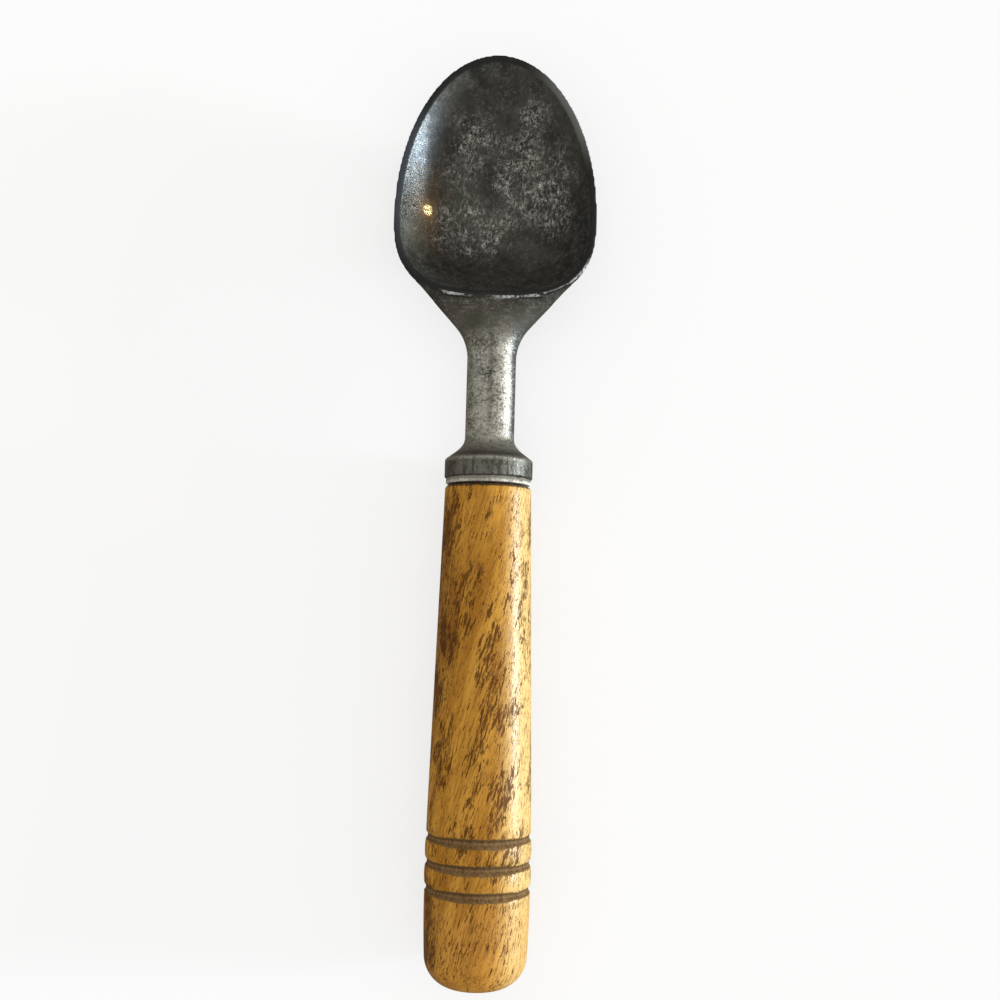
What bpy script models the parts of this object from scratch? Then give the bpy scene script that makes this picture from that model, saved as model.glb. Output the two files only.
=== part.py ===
"""Ice cream scoop with a fixed cast bowl and a turned wooden handle.

The scoop is drawn along its handle's axis: Y = 0 is the top end of the wood, +Y runs to the
tip of the bowl and +Z is the side that the bowl opens to. An empty then lays the finished
scoop on its back, so that the bowl and the handle both touch Z = 0. Units are metres.
"""

from math import atan2, cos, pi, radians, sin, sqrt, tan

import bmesh
import bpy
import numpy as np
from mathutils import Vector

MM = 0.001

# Gap kept between pieces that touch
SEAT_GAP = 0.3 * MM

# Handle: one turning in wood
HANDLE_LENGTH = 110.1 * MM
HANDLE_DIAMETER = 23.4 * MM
HANDLE_TOP_DIAMETER = 19.5 * MM
TAPER_LENGTH = 78.0 * MM
TAPER_BLEND = 0.12
TOP_EDGE_ROUND = 0.7 * MM
BUTT_ROUND = 7.0 * MM
BUTT_TUCK = 0.35 * MM
GROOVE_COUNT = 3
GROOVE_FROM_BUTT = 21.4 * MM
GROOVE_PITCH = 5.6 * MM
GROOVE_WIDTH = 1.8 * MM
GROOVE_DEPTH = 0.40 * MM
LAND_CROWN = 0.12 * MM

# Tang: a barbed steel rod, set in the head and driven into the wood
TANG_DIAMETER = 6.0 * MM
TANG_IN_HEAD = 16.0 * MM
TANG_IN_WOOD = 61.0 * MM
BARB_PITCH = 4.8 * MM
BARB_DEPTH = 0.45 * MM
BARB_SLOPE = 0.8
TANG_POINT = 4.0 * MM

# Seat washer: a thin ring between the collar and the wood
WASHER_THICKNESS = 1.2 * MM
WASHER_STEP = 0.35 * MM

# Collar: the round foot of the casting
COLLAR_DIAMETER = 20.0 * MM
COLLAR_BAND = 4.2 * MM
COLLAR_SHOULDER = 1.9 * MM
SHOULDER_DIAMETER = 15.0 * MM
COLLAR_EDGE = 0.3 * MM
FLARE_LENGTH = 3.2 * MM

# Neck: a nearly round bar
NECK_WIDTH = 11.2 * MM
NECK_HEIGHT = 10.4 * MM
NECK_LENGTH = 18.3 * MM

# Fan: the flared shoulder from the neck to the bowl
FAN_LENGTH = 13.2 * MM
FAN_FILLET = 10.0 * MM
FAN_EDGE_THICKNESS = 4.2 * MM
FAN_TAIL_THICKNESS = 1.6 * MM
FAN_CROWN = 0.7 * MM
RIDGE_SHARPNESS = 2.4
HEEL_STEP = 0.4 * MM
KEEL_BLEND = 4.0 * MM
KEEL_SINK_FROM = 0.5
FLANK_SINK = 12.0 * MM
SUNK_DEPTH = 0.5 * MM

# Bowl: an egg-shaped rim over a dished shell that is thin at its lip
BOWL_WIDTH = 46.2 * MM
BOWL_FRONT = 38.4 * MM
BOWL_REAR = 18.9 * MM
BOWL_DEPTH = 13.0 * MM
LIP_WALL = 1.4 * MM
FLOOR_WALL = 2.2 * MM
LIP_EDGE = 0.3 * MM
RIM_AT_HEEL = 6.3 * MM
RIM_AT_TIP = 4.9 * MM
FRONT_FULLNESS = 2.0
REAR_FULLNESS = 2.85

# The dish's curve: with 2 and 1 its sides slope in like a saucer's, with 2 and 2 they stand up
DOME_SPREAD = 2.0
DOME_FULLNESS = 1.05

# Counts of facets
TURNED_STEPS = 48
TANG_STEPS = 20
LOFT_STEPS = 44
RIM_STEPS = 60
DOME_STEPS = 13
LAST_DOME_STEP = 0.25
FLARE_STEPS = 5
NECK_STEPS = 4
FAN_STEPS = 24
TOP_EDGE_STEPS = 4
TAPER_STEPS = 9
GROOVE_STEPS = 6
LAND_STEPS = 3
TUCK_STEPS = 3
BUTT_STEPS = 9

# Counts used where a size is found by halving a range, and the steepest angles tried
HALVINGS = 50
TOUCH_PLACES = 90
STEEPEST_LINE = radians(80)
STEEPEST_TILT = radians(20)

# Places along the axis, each worked out from the sizes above
COLLAR_SEAT = SEAT_GAP + WASHER_THICKNESS + SEAT_GAP
SHOULDER_START = COLLAR_SEAT + COLLAR_BAND
FLARE_START = SHOULDER_START + COLLAR_SHOULDER
NECK_START = FLARE_START + FLARE_LENGTH
FAN_START = NECK_START + NECK_LENGTH
HEEL = FAN_START + FAN_LENGTH
BOWL_CENTRE = HEEL + BOWL_REAR
TIP = BOWL_CENTRE + BOWL_FRONT
TANG_RADIUS = TANG_DIAMETER / 2
BORE_RADIUS = TANG_RADIUS + SEAT_GAP

# How far the fan's tail runs below the rim, and the depth of the bowl's back below its lip
FAN_TAIL_DROP = HEEL_STEP + FAN_CROWN + FAN_TAIL_THICKNESS / 2
BACK_DEPTH = BOWL_DEPTH + FLOOR_WALL - LIP_EDGE


def clear_scene():
    for thing in list(bpy.data.objects):
        bpy.data.objects.remove(thing, do_unlink=True)


def make_material(name, colour, roughness, metallic):
    material = bpy.data.materials.new(name)
    material.use_nodes = True
    shader = material.node_tree.nodes["Principled BSDF"]
    shader.inputs["Base Color"].default_value = (*colour, 1.0)
    shader.inputs["Roughness"].default_value = roughness
    shader.inputs["Metallic"].default_value = metallic
    material.diffuse_color = (*colour, 1.0)
    return material


def make_object(name, bm, sharp_angle=radians(35)):
    bmesh.ops.recalc_face_normals(bm, faces=bm.faces)
    mesh = bpy.data.meshes.new(name)
    bm.to_mesh(mesh)
    bm.free()
    mesh.shade_smooth()
    mesh.set_sharp_from_angle(angle=sharp_angle)
    made = bpy.data.objects.new(name, mesh)
    bpy.context.collection.objects.link(made)
    return made


def arc(centre, radius, start, end, steps):
    """Points on an arc in the (along, out) plane, from one angle to another."""
    points = []
    for step in range(steps + 1):
        angle = start + (end - start) * step / steps
        points.append((centre[0] + radius * cos(angle), centre[1] + radius * sin(angle)))
    return points


def turn(name, profile, steps):
    """Spin a profile of (along, radius) points about the Y axis into one closed body."""
    bm = bmesh.new()
    ring = [bm.verts.new((radius, along, 0.0)) for along, radius in profile]
    for first, second in zip(ring, ring[1:]):
        bm.edges.new((first, second))
    if profile[0] != profile[-1] and profile[0][1] > 0:
        bm.edges.new((ring[-1], ring[0]))
    bmesh.ops.spin(
        bm,
        geom=bm.verts[:] + bm.edges[:],
        cent=(0.0, 0.0, 0.0),
        axis=(0.0, 1.0, 0.0),
        angle=2 * pi,
        steps=steps,
        use_merge=True,
    )
    bmesh.ops.remove_doubles(bm, verts=bm.verts, dist=0.001 * MM)
    return make_object(name, bm)


def loft(name, rings):
    """Skin a row of closed rings that have equal counts of points, and close both ends."""
    bm = bmesh.new()
    rows = [[bm.verts.new(point) for point in ring] for ring in rings]
    for row, following in zip(rows, rows[1:]):
        for side in range(len(row)):
            after = (side + 1) % len(row)
            bm.faces.new((row[side], row[after], following[after], following[side]))
    bm.faces.new(rows[0])
    bm.faces.new(rows[-1])
    return make_object(name, bm)


def combine(target, operand, operation):
    operand.hide_render = True
    operand.display_type = "WIRE"
    modifier = target.modifiers.new(operation.lower() + "_" + operand.name, "BOOLEAN")
    modifier.operation = operation
    modifier.solver = "EXACT"
    modifier.object = operand


def ease(value):
    """Smooth step from 0 to 1."""
    value = min(max(value, 0.0), 1.0)
    return value * value * (3.0 - 2.0 * value)


def ramp_with_fillet(distance, radius, angle):
    """Height gained along a line that turns through an arc and then climbs at an angle."""
    arc_end = radius * sin(angle)
    if distance <= 0.0:
        return 0.0
    if distance < arc_end:
        return radius - sqrt(radius * radius - distance * distance)
    return radius * (1.0 - cos(angle)) + (distance - arc_end) * tan(angle)


def rim_height(along):
    """The rim lies in one plane that falls a little towards the tip."""
    return RIM_AT_HEEL + (RIM_AT_TIP - RIM_AT_HEEL) * (along - HEEL) / (TIP - HEEL)


def rim_outline(inset):
    """The egg-shaped rim: a round front, and a blunt rear that ends in a nearly straight heel."""
    points = []
    for step in range(RIM_STEPS):
        angle = 2 * pi * step / RIM_STEPS
        front = sin(angle) >= 0
        fullness = FRONT_FULLNESS if front else REAR_FULLNESS
        reach = (BOWL_FRONT if front else -BOWL_REAR) + (-inset if front else inset)
        across = (BOWL_WIDTH / 2 - inset) * abs(cos(angle)) ** (2 / fullness)
        across = across if cos(angle) >= 0 else -across
        points.append((across, reach * abs(sin(angle)) ** (2 / fullness)))
    return points


def rear_half_width(along):
    """Half the width of the bowl at a place between its heel and its widest line."""
    share = min(max((BOWL_CENTRE - along) / BOWL_REAR, 0.0), 1.0)
    return BOWL_WIDTH / 2 * (1.0 - share ** REAR_FULLNESS) ** (1.0 / REAR_FULLNESS)


def rear_underside(along):
    """How far the bowl's back lies below the axis, from its heel to its widest line."""
    share = min(max((BOWL_CENTRE - along) / BOWL_REAR, 0.0), 1.0)
    drop = (1.0 - share ** DOME_SPREAD) ** (1.0 / DOME_FULLNESS)
    return LIP_EDGE + BACK_DEPTH * drop - rim_height(along)


def side_inset():
    """The share of the bowl's half width that is left at the height of the fan's tail."""
    share = (FAN_TAIL_DROP - LIP_EDGE) / BACK_DEPTH
    return (1.0 - share ** DOME_FULLNESS) ** (1.0 / DOME_SPREAD)


def find_flank_line():
    """The angle and place at which a line that leaves the neck's side just touches the bowl."""
    places = [HEEL + BOWL_REAR * step / TOUCH_PLACES for step in range(TOUCH_PLACES + 1)]
    low, high = 0.0, STEEPEST_LINE
    for _ in range(HALVINGS):
        angle = (low + high) / 2
        gaps = [NECK_WIDTH / 2 + ramp_with_fillet(at - FAN_START, FAN_FILLET, angle)
                - rear_half_width(at) for at in places]
        if min(gaps) > 0:
            high = angle
        else:
            low = angle
    return angle, places[gaps.index(min(gaps))]


def bowl_ring(outline, scale, below_rim):
    ring = []
    for across, along in outline:
        place = BOWL_CENTRE + along * scale
        ring.append((across * scale, place, rim_height(place) - below_rim))
    return ring


def dome_rings(outline, depth, first_drop):
    """Shrinking copies of the rim that sink along the dish's curve to its deepest point."""
    rings = []
    for step in list(range(DOME_STEPS)) + [DOME_STEPS - LAST_DOME_STEP]:
        angle = pi / 2 * step / DOME_STEPS
        scale = cos(angle) ** (2 / DOME_SPREAD)
        drop = sin(angle) ** (2 / DOME_FULLNESS)
        rings.append(bowl_ring(outline, scale, first_drop + (depth - first_drop) * drop))
    return rings


def make_bowl_form():
    """The outside of the bowl, still solid."""
    top = bowl_ring(rim_outline(LIP_EDGE), 1.0, 0.0)
    rings = dome_rings(rim_outline(0.0), BOWL_DEPTH + FLOOR_WALL, LIP_EDGE)
    return loft("bowl_form", [top] + rings)


def make_bowl_cavity():
    """The inside of the bowl, which opens upwards through the rim."""
    opening = rim_outline(LIP_WALL - LIP_EDGE)
    above = bowl_ring(opening, 1.0, -RIM_AT_HEEL)
    at_rim = bowl_ring(opening, 1.0, 0.0)
    rings = dome_rings(rim_outline(LIP_WALL), BOWL_DEPTH, LIP_EDGE)
    return loft("bowl_cavity", [above, at_rim] + rings)


def casting_section(along, half_width, edge, top, bottom):
    """One cross-section of the neck or fan.

    edge is the height of the widest line. top and bottom each hold a round part and a ridge
    part, which is a crown above and a keel below.
    """
    ring = []
    for step in range(LOFT_STEPS):
        angle = 2 * pi * step / LOFT_STEPS
        rise = abs(sin(angle))
        round_part, ridge = top if sin(angle) >= 0 else bottom
        offset = round_part * rise + ridge * rise ** RIDGE_SHARPNESS
        height = edge + offset if sin(angle) >= 0 else edge - offset
        ring.append((half_width * cos(angle), along, height))
    return ring


def flank(along, line):
    """A line from the neck that touches the bowl's lip and then sinks into the wall below it."""
    angle, touch = line
    if along <= touch:
        return NECK_WIDTH / 2 + ramp_with_fillet(along - FAN_START, FAN_FILLET, angle)
    lip = rear_half_width(along)
    wall = lip * side_inset() - SUNK_DEPTH
    return lip + (wall - lip) * ease((along - touch) / FLANK_SINK)


def keel(along):
    """The neck's underside runs on level, sweeps down to the bowl's back and sinks into it."""
    neck = NECK_HEIGHT / 2
    back = rear_underside(along)
    near = max(KEEL_BLEND - abs(neck - back), 0.0)
    sunk = SUNK_DEPTH * ease((back - neck) / KEEL_BLEND - KEEL_SINK_FROM)
    return max(neck, back) + near * near / (4 * KEEL_BLEND) - sunk


def fan_section(along, flank_line):
    """A cross-section of the neck, or of the fan as it widens, rises and thins beside the bowl."""
    share = ease((along - FAN_START) / FAN_LENGTH)
    beside = ease((along - HEEL) / (flank_line[1] - HEEL))
    half_height = NECK_HEIGHT / 2
    half_edge = (FAN_EDGE_THICKNESS + (FAN_TAIL_THICKNESS - FAN_EDGE_THICKNESS) * beside) / 2
    fan_top = rim_height(along) - HEEL_STEP
    fan_edge = fan_top - FAN_CROWN - half_edge
    edge = share * fan_edge
    rounding = half_height + share * (half_edge - half_height)
    top = (rounding, share * FAN_CROWN)
    bottom = (rounding, edge + keel(along) - rounding)
    return casting_section(along, flank(along, flank_line), edge, top, bottom)


def collar_sections():
    """Round sections of the collar's band, its sloping shoulder and the flare into the neck."""
    radius = COLLAR_DIAMETER / 2
    profile = [
        (COLLAR_SEAT, radius - COLLAR_EDGE),
        (COLLAR_SEAT + COLLAR_EDGE, radius),
        (SHOULDER_START - COLLAR_EDGE, radius),
        (SHOULDER_START, radius - COLLAR_EDGE),
        (FLARE_START, SHOULDER_DIAMETER / 2),
    ]
    sections = [casting_section(at, out, 0.0, (out, 0.0), (out, 0.0)) for at, out in profile]
    for step in range(1, FLARE_STEPS + 1):
        share = step / FLARE_STEPS
        left = (1.0 - share) ** 2
        width = NECK_WIDTH / 2 + (SHOULDER_DIAMETER - NECK_WIDTH) / 2 * left
        height = NECK_HEIGHT / 2 + (SHOULDER_DIAMETER - NECK_HEIGHT) / 2 * left
        at = FLARE_START + FLARE_LENGTH * share
        sections.append(casting_section(at, width, 0.0, (height, 0.0), (height, 0.0)))
    return sections


def make_head(metal):
    """The casting: collar, neck and fan in one loft, joined to the bowl and hollowed out."""
    flank_line = find_flank_line()
    sections = collar_sections()
    places = [NECK_START + NECK_LENGTH * step / NECK_STEPS for step in range(1, NECK_STEPS + 1)]
    fan_reach = BOWL_CENTRE - FAN_START
    places += [FAN_START + fan_reach * step / FAN_STEPS for step in range(1, FAN_STEPS + 1)]
    sections += [fan_section(along, flank_line) for along in places]
    head = loft("scoop_head", sections)
    head.data.materials.append(metal)
    combine(head, make_bowl_form(), "UNION")
    combine(head, make_bowl_cavity(), "DIFFERENCE")
    socket_depth = TANG_IN_HEAD + SEAT_GAP
    below = COLLAR_SEAT - socket_depth
    socket = [
        (below, 0.0),
        (below, BORE_RADIUS),
        (COLLAR_SEAT + socket_depth, BORE_RADIUS),
        (COLLAR_SEAT + socket_depth, 0.0),
    ]
    combine(head, turn("tang_socket", socket, TANG_STEPS), "DIFFERENCE")
    return head


def make_tang(steel):
    """A round rod, plain in the head, with barbs in the wood and a blunt point."""
    root = TANG_RADIUS - BARB_DEPTH
    bottom = -TANG_IN_WOOD
    barbs_from = bottom + TANG_POINT
    count = int((TANG_IN_WOOD - TANG_POINT - BARB_PITCH) / BARB_PITCH)
    profile = [(bottom, 0.0), (bottom, root / 2), (barbs_from, root)]
    for barb in range(count):
        foot = barbs_from + BARB_PITCH * barb
        profile.append((foot + BARB_PITCH * BARB_SLOPE, TANG_RADIUS))
        profile.append((foot + BARB_PITCH, root))
    plain_from = barbs_from + BARB_PITCH * (count + 0.5)
    top = COLLAR_SEAT + TANG_IN_HEAD
    profile.append((plain_from, TANG_RADIUS))
    profile.append((top - BARB_DEPTH, TANG_RADIUS))
    profile.append((top, root))
    profile.append((top, 0.0))
    tang = turn("tang", profile, TANG_STEPS)
    tang.data.materials.append(steel)
    return tang


def make_washer(fibre):
    """A flat ring that is a little smaller than the collar above it."""
    outer = COLLAR_DIAMETER / 2 - WASHER_STEP
    bottom = SEAT_GAP
    top = SEAT_GAP + WASHER_THICKNESS
    profile = [
        (bottom, BORE_RADIUS),
        (bottom, outer),
        (top, outer),
        (top, BORE_RADIUS),
    ]
    washer = turn("seat_washer", profile, TURNED_STEPS)
    washer.data.materials.append(fibre)
    return washer


def handle_radius(along):
    """A straight taper that eases into a parallel grip, and tucks in a little at the butt."""
    top = HANDLE_TOP_DIAMETER / 2
    grip = HANDLE_DIAMETER / 2
    share = -along / TAPER_LENGTH
    if share < 1.0 - TAPER_BLEND:
        radius = top + (grip - top) * share
    elif share < 1.0 + TAPER_BLEND:
        into = share - 1.0 + TAPER_BLEND
        radius = top + (grip - top) * (share - into * into / (4 * TAPER_BLEND))
    else:
        radius = grip
    corner = -HANDLE_LENGTH + BUTT_ROUND
    tuck_length = GROOVE_FROM_BUTT - BUTT_ROUND
    tuck = min(max((corner + tuck_length - along) / tuck_length, 0.0), 1.0)
    return radius - BUTT_TUCK * tuck * tuck


def handle_grooves():
    """Three turned grooves, with crowned bands of wood between them."""
    points = []
    half = GROOVE_WIDTH / 2
    circle = (half * half + GROOVE_DEPTH * GROOVE_DEPTH) / (2 * GROOVE_DEPTH)
    spread = atan2(half, circle - GROOVE_DEPTH)
    for groove in range(GROOVE_COUNT):
        middle = -HANDLE_LENGTH + GROOVE_FROM_BUTT + GROOVE_PITCH * groove
        surface = handle_radius(middle)
        centre = (middle, surface + circle - GROOVE_DEPTH)
        points += arc(centre, circle, -pi / 2 - spread, -pi / 2 + spread, GROOVE_STEPS)
        if groove < GROOVE_COUNT - 1:
            land = GROOVE_PITCH - GROOVE_WIDTH
            for step in range(LAND_STEPS):
                share = (step + 0.5) / LAND_STEPS
                at = middle + half + land * share
                crown = LAND_CROWN * 4 * share * (1 - share)
                points.append((at, handle_radius(at) + crown))
    return points


def make_handle(wood):
    """The turned handle, with a blind bore for the tang and a drill point at its end."""
    butt = -HANDLE_LENGTH
    corner = butt + BUTT_ROUND
    corner_radius = handle_radius(corner)
    profile = [(butt, 0.0)]
    profile += arc((corner, corner_radius - BUTT_ROUND), BUTT_ROUND, pi, pi / 2, BUTT_STEPS)
    grooves = handle_grooves()
    for step in range(1, TUCK_STEPS):
        at = corner + (grooves[0][0] - corner) * step / TUCK_STEPS
        profile.append((at, handle_radius(at)))
    profile += grooves
    for step in range(1, TAPER_STEPS + 1):
        share = step / TAPER_STEPS
        at = grooves[-1][0] * (1 - share) - TOP_EDGE_ROUND * share
        profile.append((at, handle_radius(at)))
    rounding = (-TOP_EDGE_ROUND, HANDLE_TOP_DIAMETER / 2 - TOP_EDGE_ROUND)
    profile += arc(rounding, TOP_EDGE_ROUND, pi / 2, 0.0, TOP_EDGE_STEPS)[1:]
    bore_end = -TANG_IN_WOOD - SEAT_GAP
    profile.append((0.0, BORE_RADIUS))
    profile.append((bore_end, BORE_RADIUS))
    profile.append((bore_end - BORE_RADIUS / 2, 0.0))
    handle = turn("handle", profile, TURNED_STEPS)
    handle.data.materials.append(wood)
    return handle


def corners_of(made):
    """Every corner of a finished piece, after its modifiers."""
    shown = made.evaluated_get(bpy.context.evaluated_depsgraph_get())
    mesh = shown.to_mesh()
    points = np.empty(len(mesh.vertices) * 3, dtype=np.float32)
    mesh.vertices.foreach_get("co", points)
    shown.to_mesh_clear()
    return points.reshape(-1, 3).astype(float)


def lay_on_its_back(head, handle):
    """Tilt the scoop until bowl and handle stand at one level, over a centred origin."""
    bowl = corners_of(head)
    grip = corners_of(handle)
    low, high = -STEEPEST_TILT, STEEPEST_TILT
    for _ in range(HALVINGS):
        tilt = (low + high) / 2
        bowl_level = (bowl[:, 1] * sin(tilt) + bowl[:, 2] * cos(tilt)).min()
        grip_level = (grip[:, 1] * sin(tilt) + grip[:, 2] * cos(tilt)).min()
        if bowl_level < grip_level:
            low = tilt
        else:
            high = tilt
    both = np.vstack((bowl, grip))
    along = both[:, 1] * cos(tilt) - both[:, 2] * sin(tilt)
    level = both[:, 1] * sin(tilt) + both[:, 2] * cos(tilt)
    rest = bpy.data.objects.new("rest_pose", None)
    bpy.context.collection.objects.link(rest)
    rest.rotation_euler = (tilt, 0.0, 0.0)
    rest.location = Vector((0.0, -(along.min() + along.max()) / 2, -level.min()))
    return rest


def main():
    clear_scene()
    cast_aluminium = make_material("cast_aluminium", (0.10, 0.098, 0.09), 0.45, 1.0)
    steel = make_material("steel", (0.35, 0.35, 0.36), 0.4, 1.0)
    fibre = make_material("fibre", (0.45, 0.43, 0.38), 0.85, 0.0)
    varnished_wood = make_material("varnished_wood", (0.62, 0.34, 0.10), 0.35, 0.0)
    head = make_head(cast_aluminium)
    tang = make_tang(steel)
    washer = make_washer(fibre)
    handle = make_handle(varnished_wood)
    rest = lay_on_its_back(head, handle)
    for piece in bpy.data.objects:
        if piece is not rest:
            piece.parent = rest


main()
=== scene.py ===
"""Dresses the ice cream scoop: a fixed cast bowl on a turned wooden handle."""

from math import atan2, cos, pi, radians, sin, sqrt, tan

import bmesh
import bpy
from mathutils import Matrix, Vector, noise


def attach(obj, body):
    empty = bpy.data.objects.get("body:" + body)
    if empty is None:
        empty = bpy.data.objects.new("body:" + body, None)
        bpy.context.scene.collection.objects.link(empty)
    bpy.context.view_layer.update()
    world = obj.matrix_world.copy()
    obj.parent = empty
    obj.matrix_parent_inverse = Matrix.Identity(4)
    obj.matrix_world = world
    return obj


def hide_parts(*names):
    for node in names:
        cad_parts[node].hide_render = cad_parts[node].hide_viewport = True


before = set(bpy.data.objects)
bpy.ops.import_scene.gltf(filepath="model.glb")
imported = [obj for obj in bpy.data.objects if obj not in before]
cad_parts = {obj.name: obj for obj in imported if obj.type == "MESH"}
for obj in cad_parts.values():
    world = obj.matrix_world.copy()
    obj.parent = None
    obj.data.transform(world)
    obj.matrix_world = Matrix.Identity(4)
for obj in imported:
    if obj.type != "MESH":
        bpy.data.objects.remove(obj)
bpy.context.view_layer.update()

MM = 0.001


# Camera: the photograph was taken from about 30 cm above the middle of the scoop, with the
# lens tipped a little towards the tip of the bowl.
CAMERA_PLACE = (0.00294, -0.02099, 0.30492)
CAMERA_TURN = (0.07878, -0.00152, 0.02671)
SENSOR = 36.0
LENS = 1.3 * SENSOR
CLIP_START = 10 * MM

bpy.ops.object.camera_add(location=CAMERA_PLACE, rotation=CAMERA_TURN)
camera = bpy.context.object
camera.name = "camera"
camera.data.sensor_width = SENSOR
camera.data.lens = LENS
camera.data.clip_start = CLIP_START
bpy.context.scene.camera = camera


# Scoop head: one aluminium casting with a round collar, a nearly round neck, a fan that flares
# from the neck, and an egg-shaped dish of a bowl. It is cast whole, fettled by hand, and its
# heel and the right rear of its lip are worn bright by use and carry a painted highlight.
COLLAR_SEAT = 1.8 * MM
COLLAR_DIAMETER = 20.0 * MM
COLLAR_BAND = 4.2 * MM
COLLAR_SHOULDER = 1.9 * MM
SHOULDER_DIAMETER = 15.0 * MM
FLARE_LENGTH = 3.2 * MM
NECK_WIDTH = 11.2 * MM
NECK_HEIGHT = 10.4 * MM
NECK_LENGTH = 18.3 * MM
FAN_LENGTH = 13.2 * MM
FAN_FILLET = 10.0 * MM
FAN_EDGE = 4.2 * MM
FAN_TAIL = 1.6 * MM
FAN_CROWN = 0.7 * MM
RIDGE_SHARPNESS = 2.4
HEEL_STEP = 0.4 * MM
KEEL_BLEND = 4.0 * MM
FLANK_SINK = 12.0 * MM
SUNK_DEPTH = 0.5 * MM
BOWL_WIDTH = 46.2 * MM
BOWL_FRONT = 38.55 * MM
BOWL_REAR = 18.9 * MM
BOWL_DEPTH = 13.0 * MM
LIP_WALL = 1.4 * MM
FLOOR_WALL = 2.2 * MM
RIM_AT_HEEL = 6.3 * MM
RIM_AT_TIP = 4.9 * MM
REAR_FULLNESS = 2.85
DISH_SPREAD = 2.0
DISH_FULLNESS = 1.05
TANG_BORE = 6.6 * MM
TANG_BORE_DEPTH = 16.3 * MM
HOLLOW_LIFT = 4.0 * MM

# The lip is drawn a little too wide, because rounding it over draws it in again.
LIP_SPARE = 0.24 * MM

# How finely the curves are drawn. The last ring of a dish stops short of a point, so that a
# small face closes it.
EGG_POINTS = 192
COLLAR_POINTS = 128
BORE_POINTS = 48
DISH_RINGS = 40
LAST_RING = 0.2
FLARE_STEPS = 12
NECK_STEPS = 12
FAN_STEPS = 60
TOUCH_PLACES = 90
HALVINGS = 50
STEEPEST_LINE = radians(80)
MESH_SIZE = 0.34 * MM
NUDGE = 0.1 * MM
TINY = 0.01 * MM
ALMOST = 0.001
ORIGIN = (0.0, 0.0, 0.0)

SHOULDER_START = COLLAR_SEAT + COLLAR_BAND
FLARE_START = SHOULDER_START + COLLAR_SHOULDER
NECK_START = FLARE_START + FLARE_LENGTH
FAN_START = NECK_START + NECK_LENGTH
HEEL = FAN_START + FAN_LENGTH
BOWL_CENTRE = HEEL + BOWL_REAR
TIP = BOWL_CENTRE + BOWL_FRONT
RIM_FALL = (RIM_AT_TIP - RIM_AT_HEEL) / (TIP - HEEL)

# The scoop is drawn along its handle's axis from the top of the wood, then laid on its back.
REST_TILT = -0.016853
REST_PLACE = (0.0, 5.097 * MM, 10.432 * MM)


def only(piece):
    """Select one piece alone and make it active."""
    bpy.ops.object.select_all(action="DESELECT")
    piece.select_set(True)
    bpy.context.view_layer.objects.active = piece


def start_circle(name, points, radius, place, turn=ORIGIN):
    """A filled circle as the first outline of a piece."""
    bpy.ops.object.select_all(action="DESELECT")
    bpy.ops.mesh.primitive_circle_add(
        vertices=points, radius=radius, fill_type="NGON", location=place, rotation=turn)
    piece = bpy.context.object
    piece.name = name
    piece.data.name = name
    bpy.ops.object.transform_apply(location=True, rotation=True, scale=True)
    return piece


def edit_all(piece):
    """Edit one piece with all of its points selected."""
    only(piece)
    bpy.ops.object.mode_set(mode="EDIT")
    bpy.ops.mesh.select_all(action="SELECT")


def leave_editing():
    """Go back from a piece's points to whole pieces."""
    bpy.ops.object.mode_set(mode="OBJECT")


def pick(piece, wanted):
    """In edit mode, select the points that a test wants."""
    bm = bmesh.from_edit_mesh(piece.data)
    for vertex in bm.verts:
        vertex.select = wanted(vertex.co)
    bm.select_flush_mode()
    bmesh.update_edit_mesh(piece.data)


def apply_modifier(piece, kind, **settings):
    """Add a modifier to a piece and apply it at once."""
    only(piece)
    modifier = piece.modifiers.new(kind.lower(), kind)
    for name, value in settings.items():
        setattr(modifier, name, value)
    bpy.ops.object.modifier_apply(modifier=modifier.name)


def rim_height(along):
    """How far the plane of the lip lies above the handle's axis."""
    return RIM_AT_HEEL + RIM_FALL * (along - HEEL)


def egg(name, inset, lift):
    """A filled egg outline in the plane of the rim: round in front, fuller at the rear."""
    half = BOWL_WIDTH / 2 - inset
    piece = start_circle(name, EGG_POINTS, half, ORIGIN)
    bpy.ops.object.mode_set(mode="EDIT")
    bpy.ops.mesh.select_mode(type="VERT")
    levels = sorted({round(-vertex.co.y / half, 5) for vertex in piece.data.vertices})
    for level in [value for value in levels if ALMOST < value < 1 - ALMOST]:
        across = sqrt(1 - level * level)
        pick(piece, lambda co: abs(co.y + level * half) < TINY)
        fuller = (across ** (2 / REAR_FULLNESS - 1), level ** (2 / REAR_FULLNESS - 1), 1.0)
        bpy.ops.transform.resize(value=fuller, center_override=ORIGIN)
    for side, length in ((1, BOWL_FRONT), (-1, BOWL_REAR)):
        pick(piece, lambda co: co.y * side > 0)
        longer = (1.0, (length - inset) / half, 1.0)
        bpy.ops.transform.resize(value=longer, center_override=ORIGIN)
    leave_editing()
    piece.rotation_euler.x = atan2(RIM_FALL, 1.0)
    piece.location = (0.0, BOWL_CENTRE, rim_height(BOWL_CENTRE) + lift)
    bpy.ops.object.transform_apply(location=True, rotation=True)
    return piece


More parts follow.
